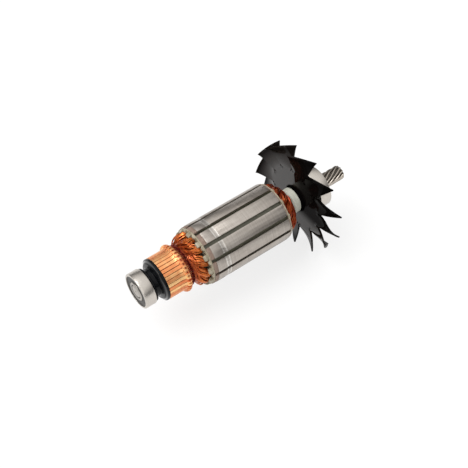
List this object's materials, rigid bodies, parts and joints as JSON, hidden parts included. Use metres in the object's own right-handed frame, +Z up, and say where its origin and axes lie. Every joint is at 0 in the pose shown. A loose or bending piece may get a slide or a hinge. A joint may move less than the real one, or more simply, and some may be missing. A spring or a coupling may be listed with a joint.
{
  "type": "motor armature",
  "caption": "Wound rotor of a hand power tool's universal motor, with commutator, slotted steel stack, cooling fan, ball bearing at each end and helical pinion cut on the shaft.",
  "frame": {"origin": "on the shaft's axis at the middle of the front bearing's width, where the motor housing holds it", "axes": "+X along the shaft from the commutator end to the pinion end, +Z up as the armature is shown"},
  "size_m": [0.1485, 0.07, 0.07],
  "materials": {
    "shaft_steel": "ground",
    "sleeve_plastic": "moulded",
    "lamination_steel": "turned, satin",
    "fibre": "pressed fibre",
    "insulator_plastic": "moulded",
    "liner_paper": "insulating paper",
    "wedge": "varnished fibre",
    "winding_enamel": "enamelled copper wire",
    "bush_steel": "turned",
    "hub_moulding": "moulded phenolic",
    "commutator_copper": "turned copper",
    "mica": "mica",
    "lead_enamel": "enamelled copper wire",
    "shield_plastic": "moulded",
    "fan_plastic": "moulded",
    "ring_steel": "ground and polished",
    "ball_steel": "polished",
    "cage_steel": "pressed",
    "seal_rubber": "moulded"
  },
  "bodies": {
    "front_outer": {"front_bearing_outer_ring": "ring_steel", "front_bearing_front_seal": "seal_rubber", "front_bearing_rear_seal": "seal_rubber"},
    "rotor": {"shaft": "shaft_steel", "shaft_sleeve": "sleeve_plastic", "lamination_stack": "lamination_steel", "front_end_plate": "fibre", "rear_end_plate": "fibre", "front_end_insulator": "insulator_plastic", "rear_end_insulator": "insulator_plastic", "slot_liners": "liner_paper", "slot_wedges": "wedge", "commutator_bush": "bush_steel", "commutator_hub": "hub_moulding", "commutator_bars": "commutator_copper", "mica_segments": "mica", "coil_leads": "lead_enamel", "dust_shield": "shield_plastic", "fan": "fan_plastic", "coil_01": "winding_enamel", "coil_02": "winding_enamel", "coil_03": "winding_enamel", "coil_04": "winding_enamel", "coil_05": "winding_enamel", "coil_06": "winding_enamel", "coil_07": "winding_enamel", "coil_08": "winding_enamel", "coil_09": "winding_enamel", "coil_10": "winding_enamel", "coil_11": "winding_enamel", "coil_12": "winding_enamel", "front_bearing_inner_ring": "ring_steel", "rear_bearing_inner_ring": "ring_steel"},
    "front_balls": {"front_bearing_balls": "ball_steel", "front_bearing_cage": "cage_steel"},
    "rear_outer": {"rear_bearing_outer_ring": "ring_steel", "rear_bearing_front_seal": "seal_rubber", "rear_bearing_rear_seal": "seal_rubber"},
    "rear_balls": {"rear_bearing_balls": "ball_steel", "rear_bearing_cage": "cage_steel"}
  },
  "joints": [
    {"name": "rotor_spin", "type": "hinge", "parent": "front_outer", "child": "rotor", "pos_m": [0, 0, 0], "axis": [1, 0, 0], "continuous": true},
    {"name": "front_cage_spin", "type": "hinge", "parent": "front_outer", "child": "front_balls", "pos_m": [0, 0, 0], "axis": [1, 0, 0], "continuous": true},
    {"name": "rear_ring_spin", "type": "hinge", "parent": "rotor", "child": "rear_outer", "pos_m": [0.1238, 0, 0], "axis": [1, 0, 0], "continuous": true},
    {"name": "rear_cage_spin", "type": "hinge", "parent": "rotor", "child": "rear_balls", "pos_m": [0.1238, 0, 0], "axis": [1, 0, 0], "continuous": true}
  ],
  "couplings": [
    {"joint": "front_cage_spin", "follows": "rotor_spin", "ratio": 0.3677},
    {"joint": "rear_cage_spin", "follows": "rear_ring_spin", "ratio": 0.6323}
  ]
}
